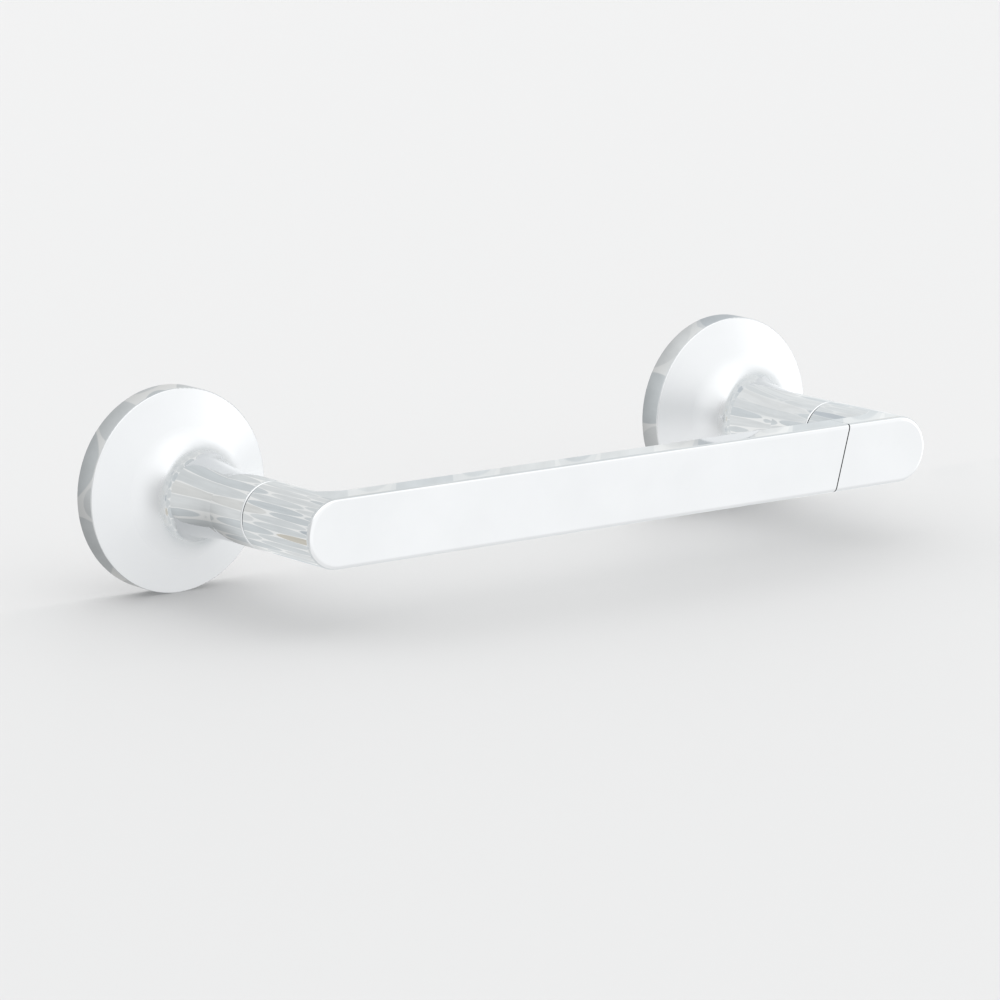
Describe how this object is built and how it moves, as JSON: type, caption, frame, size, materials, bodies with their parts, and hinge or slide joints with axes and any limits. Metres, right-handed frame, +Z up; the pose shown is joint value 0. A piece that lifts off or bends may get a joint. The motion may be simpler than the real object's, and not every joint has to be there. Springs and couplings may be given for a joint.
{
  "type": "pivoting toilet roll holder",
  "caption": "Chrome wall-mounted roll holder: round flanged posts carry a flat bar that swings up on one post and rests on the other.",
  "frame": {"origin": "on the wall plane, midway between the two post axes and level with them, which is the centre of the four wall-screw holes", "axes": "+X along the bar from the pivot post to the rest post, +Y into the wall, +Z up; the holder stands on the -Y side of the wall"},
  "size_m": [0.2422, 0.078, 0.0542],
  "materials": {
    "chrome": "polished chrome plate on a zinc casting",
    "cast_bracket": "plain tumbled zinc casting",
    "steel": "turned stainless steel",
    "dark_steel": "blackened hex-socket screw steel",
    "bush_plastic": "dark acetal bearing plastic",
    "pad_plastic": "milky soft bumper plastic"
  },
  "bodies": {
    "wall_side": {"pivot_wall_bracket": "cast_bracket", "rest_wall_bracket": "cast_bracket", "pivot_flange_post": "chrome", "rest_flange_post": "chrome", "flange_set_screws": "steel", "front_bush": "bush_plastic", "rear_bush": "bush_plastic", "rest_end_piece": "chrome", "rest_end_screw": "dark_steel", "rest_end_lock_washer": "steel", "rest_end_locating_pin": "steel", "rest_pad": "pad_plastic"},
    "swing_arm": {"swing_bar": "chrome", "pivot_shaft": "steel", "stop_pin": "steel", "spring_washer": "steel", "retaining_washer": "steel", "retaining_screw": "dark_steel"}
  },
  "joints": [
    {"name": "bar_lift", "type": "hinge", "parent": "wall_side", "child": "swing_arm", "pos_m": [-0.094, -0.06, 0], "axis": [0, -1, 0], "range_deg": [0, 90]}
  ]
}
